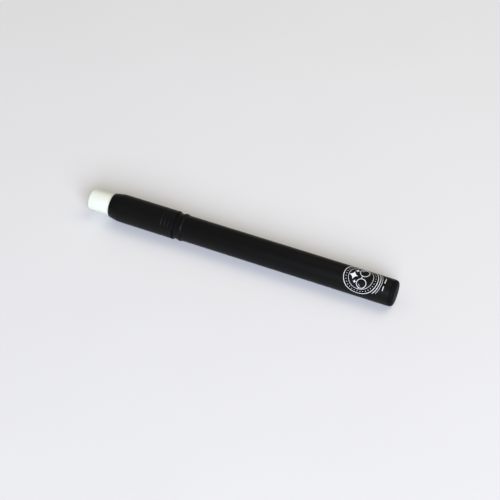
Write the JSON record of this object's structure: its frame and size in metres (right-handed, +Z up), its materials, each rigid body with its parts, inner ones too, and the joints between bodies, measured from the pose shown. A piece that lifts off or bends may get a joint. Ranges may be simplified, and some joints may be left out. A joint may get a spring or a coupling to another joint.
{
  "type": "lens cleaning pen",
  "caption": "Pocket spray pen for spectacle lenses: a push-button mist pump in a slim threaded sleeve over a fluid vial in a tubular barrel.",
  "frame": {"origin": "half-way along the pen, below its axis, on the surface that the sleeve's rim touches", "axes": "+X along the axis from the spray button to the end plug, +Z up from the surface, the nozzle facing +Y"},
  "size_m": [0.1394, 0.0124, 0.0124],
  "materials": {
    "soft_black": "matte soft-touch coat on aluminium",
    "plug_plastic": "fine moulded texture",
    "closure_plastic": "plain moulded black",
    "button_plastic": "satin moulded white with a faint green tint",
    "pump_plastic": "natural moulded polypropylene",
    "soft_plastic": "soft polyethylene",
    "clear_plastic": "clear moulded plastic",
    "seal_rubber": "plain black rubber",
    "foam": "closed-cell foam",
    "steel": "drawn stainless wire and a ground ball"
  },
  "bodies": {
    "pen_body": {"barrel": "soft_black", "neck_ring": "soft_black", "vial": "clear_plastic", "vial_bush": "closure_plastic", "vial_cushion": "foam", "end_plug": "plug_plastic", "plug_seal": "seal_rubber"},
    "pump_core": {"pump_housing": "pump_plastic", "stem_guide": "pump_plastic", "stem_seal": "seal_rubber", "neck_gasket": "soft_plastic", "dip_tube": "clear_plastic", "return_spring": "steel"},
    "sleeve_cap": {"closure": "closure_plastic", "front_sleeve": "soft_black"},
    "stem": {"pump_stem": "pump_plastic", "pump_piston": "soft_plastic"},
    "button": {"actuator": "button_plastic", "nozzle_insert": "button_plastic"},
    "ball": {"inlet_ball": "steel"}
  },
  "joints": [
    {"name": "head_rise", "type": "slide", "parent": "pen_body", "child": "pump_core", "axis": [-1, 0, 0], "range_m": [0, 0.0045]},
    {"name": "sleeve_unscrew", "type": "hinge", "parent": "pump_core", "child": "sleeve_cap", "pos_m": [-0.05, 0, 0.00618], "axis": [-1, 0, 0], "range_deg": [0, 1080]},
    {"name": "button_press", "type": "slide", "parent": "pump_core", "child": "stem", "axis": [1, 0, 0], "range_m": [0, 0.0035], "stiffness_N_per_m": 2000, "springref_m": -0.0012, "deforming": ["return_spring"]},
    {"name": "button_turn", "type": "hinge", "parent": "stem", "child": "button", "pos_m": [-0.062, 0, 0.00618], "axis": [1, 0, 0], "continuous": true},
    {"name": "ball_lift", "type": "slide", "parent": "pump_core", "child": "ball", "axis": [-1, 0, 0], "range_m": [0, 0.0005]}
  ],
  "couplings": [
    {"joint": "head_rise", "follows": "sleeve_unscrew", "m_per_rad": 0.0002387}
  ]
}
